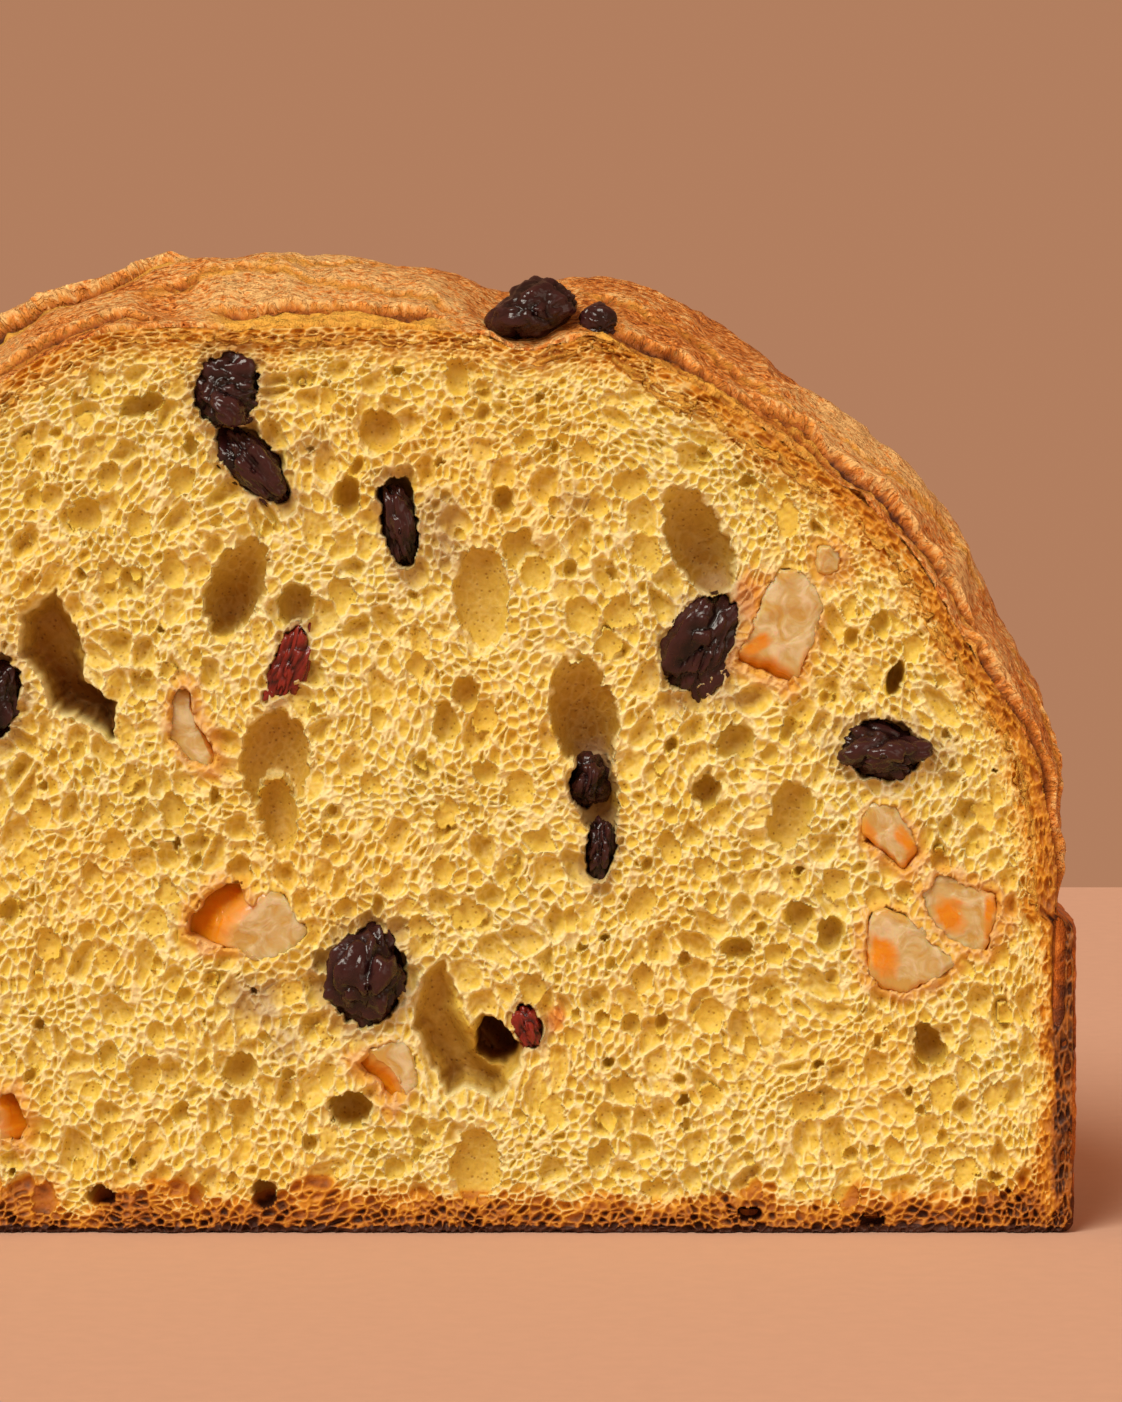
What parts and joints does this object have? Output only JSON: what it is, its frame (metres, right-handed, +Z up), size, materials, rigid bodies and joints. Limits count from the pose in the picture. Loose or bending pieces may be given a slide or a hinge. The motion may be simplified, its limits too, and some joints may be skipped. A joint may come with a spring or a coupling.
{
  "type": "half panettone",
  "caption": "Half of a low, domed sweet loaf standing on its base, its open yellow crumb cut upright to show raisins and candied peel.",
  "frame": {"origin": "middle of the bounding box, at the bottom, on the base that the loaf stands on", "axes": "+Z up, +X to the right as seen from in front of the cut face, and the cut face looks along -Y"},
  "size_m": [0.2022, 0.1116, 0.1391],
  "materials": {
    "bread": "soft open crumb with a baked crust",
    "raisin": "wrinkled, moist sheen",
    "raisin_red": "wrinkled, moist sheen",
    "peel_pale": "moist and translucent",
    "peel_orange": "moist and translucent"
  },
  "bodies": {
    "root": {"bread": "bread", "raisin_upper_left": "raisin", "raisin_below_it": "raisin", "raisin_webbed": "raisin", "raisin_red": "raisin_red", "raisin_large_right": "raisin", "raisin_right": "raisin", "raisin_in_hole": "raisin", "raisin_under_hole": "raisin", "raisin_round": "raisin", "raisin_low_red": "raisin_red", "raisin_left_edge": "raisin", "raisin_on_crust": "raisin", "raisin_on_crust_small": "raisin", "raisin_far_left": "raisin", "raisin_low_left": "raisin", "peel_large": "peel_pale", "peel_small": "peel_pale", "peel_upper_right": "peel_orange", "peel_right": "peel_pale", "peel_far_right": "peel_orange", "peel_left": "peel_orange", "peel_low": "peel_orange", "peel_strip": "peel_orange", "peel_left_edge": "peel_orange", "peel_far_left": "peel_pale", "peel_low_left": "peel_orange"}
  },
  "joints": []
}
